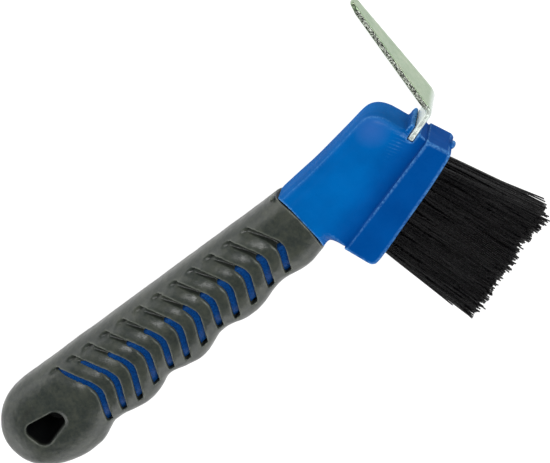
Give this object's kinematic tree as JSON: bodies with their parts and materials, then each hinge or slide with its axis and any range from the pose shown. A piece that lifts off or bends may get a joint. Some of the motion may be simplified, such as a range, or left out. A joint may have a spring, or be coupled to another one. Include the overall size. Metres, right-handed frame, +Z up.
{
  "type": "hoof pick",
  "caption": "Horse hoof pick with a bent flat steel pick, a stiff bristle brush on an angled head, and a finger-grooved rubber grip with a hang hole.",
  "frame": {"origin": "centre of the overall bounding box in X and Y, at its lowest height in Z; the tool lies on its side", "axes": "+X runs along the handle from the rounded butt to the head, +Y is the side the pick points to, with the bristles pointing mostly to -Y, and +Z is up through the thickness"},
  "size_m": [0.1768, 0.0918, 0.0189],
  "materials": {
    "blue_moulding": "semi-gloss moulded polypropylene, blue",
    "grip_rubber": "satin dark grey-green thermoplastic rubber",
    "pick_steel": "zinc plated flat steel, sheared edges",
    "bristle_nylon": "stiff black nylon filaments",
    "anchor_wire": "plain flat wire"
  },
  "bodies": {
    "root": {"body_core": "blue_moulding", "rubber_grip": "grip_rubber", "pick_blade": "pick_steel", "tuft_r1_c1": "bristle_nylon", "tuft_r1_c2": "bristle_nylon", "tuft_r1_c3": "bristle_nylon", "tuft_r1_c4": "bristle_nylon", "tuft_r1_c5": "bristle_nylon", "tuft_r1_c6": "bristle_nylon", "tuft_r1_c7": "bristle_nylon", "tuft_r1_c8": "bristle_nylon", "tuft_r2_c1": "bristle_nylon", "tuft_r2_c2": "bristle_nylon", "tuft_r2_c3": "bristle_nylon", "tuft_r2_c4": "bristle_nylon", "tuft_r2_c5": "bristle_nylon", "tuft_r2_c6": "bristle_nylon", "tuft_r2_c7": "bristle_nylon", "tuft_r2_c8": "bristle_nylon", "tuft_r3_c1": "bristle_nylon", "tuft_r3_c2": "bristle_nylon", "tuft_r3_c3": "bristle_nylon", "tuft_r3_c4": "bristle_nylon", "tuft_r3_c5": "bristle_nylon", "tuft_r3_c6": "bristle_nylon", "tuft_r3_c7": "bristle_nylon", "tuft_r3_c8": "bristle_nylon", "tuft_anchor_r1_c1": "anchor_wire", "tuft_anchor_r1_c2": "anchor_wire", "tuft_anchor_r1_c3": "anchor_wire", "tuft_anchor_r1_c4": "anchor_wire", "tuft_anchor_r1_c5": "anchor_wire", "tuft_anchor_r1_c6": "anchor_wire", "tuft_anchor_r1_c7": "anchor_wire", "tuft_anchor_r1_c8": "anchor_wire", "tuft_anchor_r2_c1": "anchor_wire", "tuft_anchor_r2_c2": "anchor_wire", "tuft_anchor_r2_c3": "anchor_wire", "tuft_anchor_r2_c4": "anchor_wire", "tuft_anchor_r2_c5": "anchor_wire", "tuft_anchor_r2_c6": "anchor_wire", "tuft_anchor_r2_c7": "anchor_wire", "tuft_anchor_r2_c8": "anchor_wire", "tuft_anchor_r3_c1": "anchor_wire", "tuft_anchor_r3_c2": "anchor_wire", "tuft_anchor_r3_c3": "anchor_wire", "tuft_anchor_r3_c4": "anchor_wire", "tuft_anchor_r3_c5": "anchor_wire", "tuft_anchor_r3_c6": "anchor_wire", "tuft_anchor_r3_c7": "anchor_wire", "tuft_anchor_r3_c8": "anchor_wire"}
  },
  "joints": []
}
